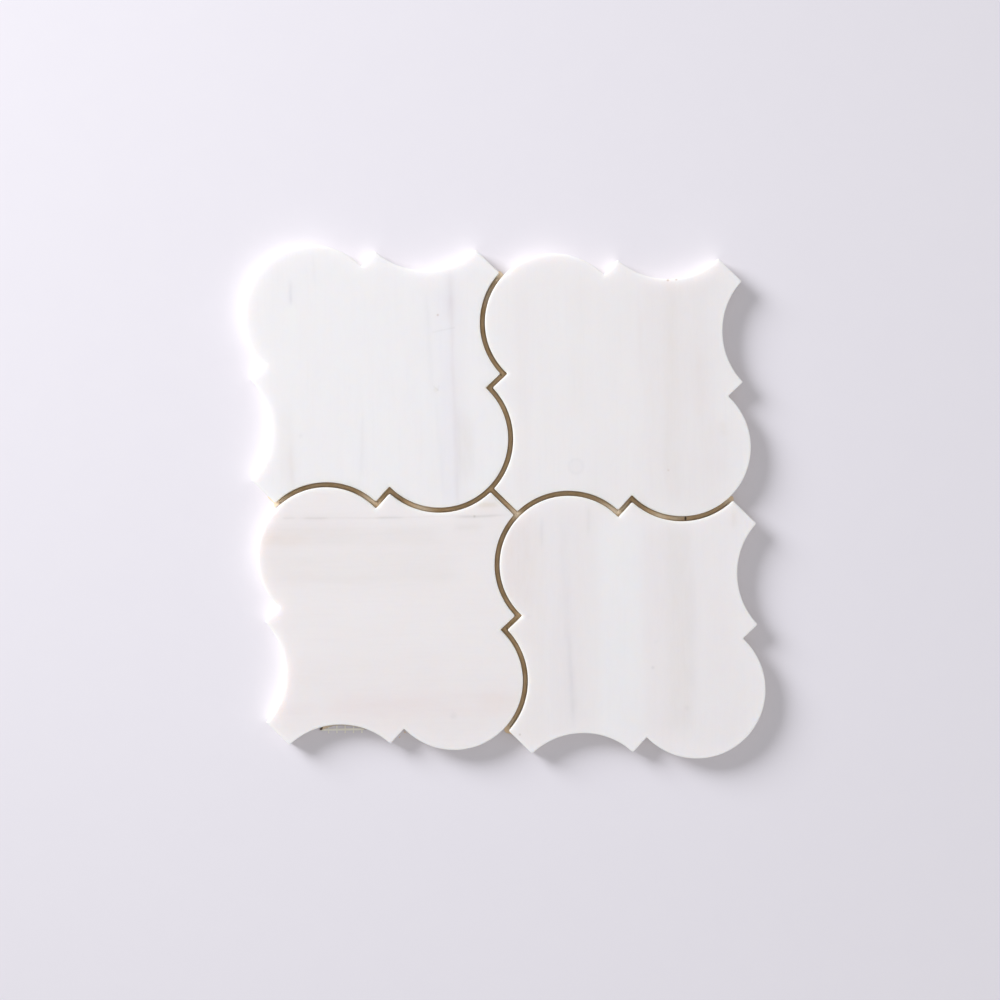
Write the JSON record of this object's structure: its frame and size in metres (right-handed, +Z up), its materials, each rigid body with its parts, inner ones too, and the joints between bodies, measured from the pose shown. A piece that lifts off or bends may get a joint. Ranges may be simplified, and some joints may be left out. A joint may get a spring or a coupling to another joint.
{
  "type": "arabesque marble mosaic sheet",
  "caption": "Flat mosaic sheet of white marble tiles with round lobes, hollow bays and stepped cusps, set with open joints on a glass-fibre net.",
  "frame": {"origin": "under the middle of the sheet, on the underside of the net", "axes": "+Z up out of the polished faces, +X to the right and +Y to the top of the picture"},
  "size_m": [0.3102, 0.3102, 0.0105],
  "materials": {
    "marble": "polished",
    "glued_net": "matte"
  },
  "bodies": {
    "root": {"tile_upper_left": "marble", "tile_upper_right": "marble", "tile_lower_left": "marble", "tile_lower_right": "marble", "mesh_backing": "glued_net"}
  },
  "joints": []
}
